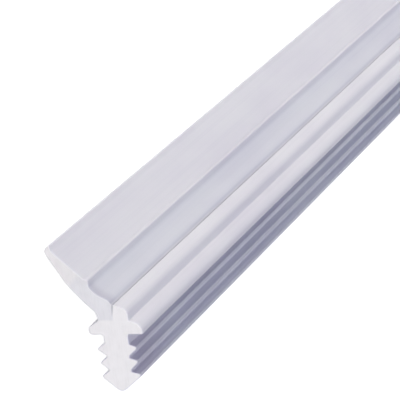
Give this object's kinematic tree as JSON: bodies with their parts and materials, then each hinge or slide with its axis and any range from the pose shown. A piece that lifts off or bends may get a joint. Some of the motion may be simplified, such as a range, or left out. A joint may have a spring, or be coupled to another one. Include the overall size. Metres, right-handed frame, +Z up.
{
  "type": "window seal strip",
  "caption": "Straight extruded window seal strip with a barbed push-in foot, shouldered head and one broad curved sealing lip.",
  "frame": {"origin": "bottom centre of the bounding box, on the floor under the middle of the strip's length", "axes": "+Y along the strip, +Z up from the floor that the strip lies on, +X across it from the lip's end towards the foot"},
  "size_m": [0.0192, 1, 0.0074],
  "materials": {
    "soft_pvc": "satin white, slightly mottled, with fine lines along its length"
  },
  "bodies": {
    "root": {"seal_strip": "soft_pvc"}
  },
  "joints": []
}
